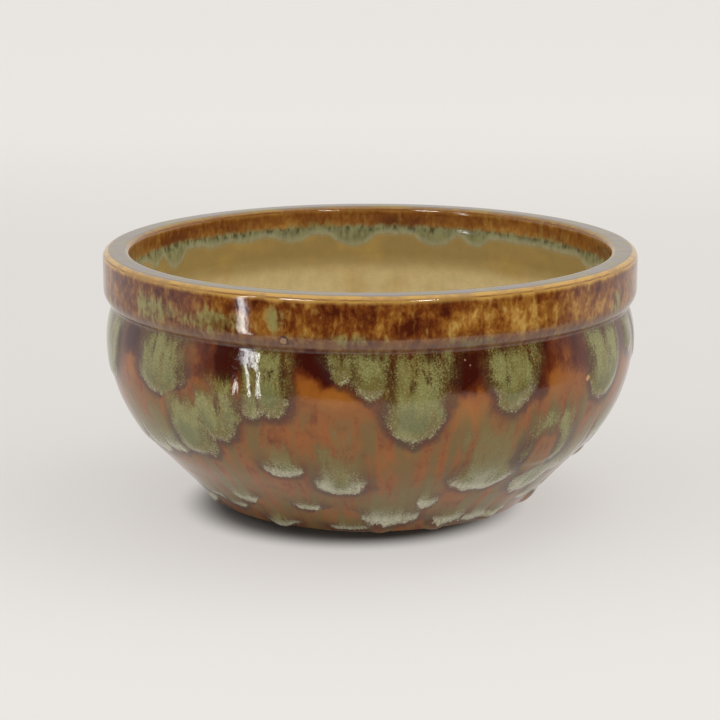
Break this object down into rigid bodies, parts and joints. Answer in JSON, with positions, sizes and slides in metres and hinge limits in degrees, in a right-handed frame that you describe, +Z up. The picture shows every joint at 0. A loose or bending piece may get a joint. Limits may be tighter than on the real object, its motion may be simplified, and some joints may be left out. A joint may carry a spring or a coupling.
{
  "type": "ceramic cachepot",
  "caption": "Wide round stoneware cachepot with a thick banded rim, full belly tapering to a small foot ring, and a glossy amber glaze with green runs; it hides a nursery pot.",
  "frame": {"origin": "on the table, under the middle of the foot ring", "axes": "+Z up along the pot's axis, out of the mouth; -Y is the side that the picture shows"},
  "size_m": [0.27, 0.27, 0.132],
  "materials": {
    "stoneware": "bare fired stoneware, matt and slightly gritty, seen only under the pot",
    "amber_glaze": "glossy amber-brown glaze, mottled from orange to maroon, breaking gold on the edges",
    "liner_glaze": "satin-gloss khaki glaze with faint yellow blotches",
    "green_glaze": "glossy green running glaze with streaks, pale crystalline tips and dark edges"
  },
  "bodies": {
    "root": {"clay_body": "stoneware", "amber_glaze": "amber_glaze", "liner_glaze": "liner_glaze", "shoulder_runs": "green_glaze", "belly_runs": "green_glaze", "foot_drips": "green_glaze", "lip_fringe": "green_glaze"}
  },
  "joints": []
}
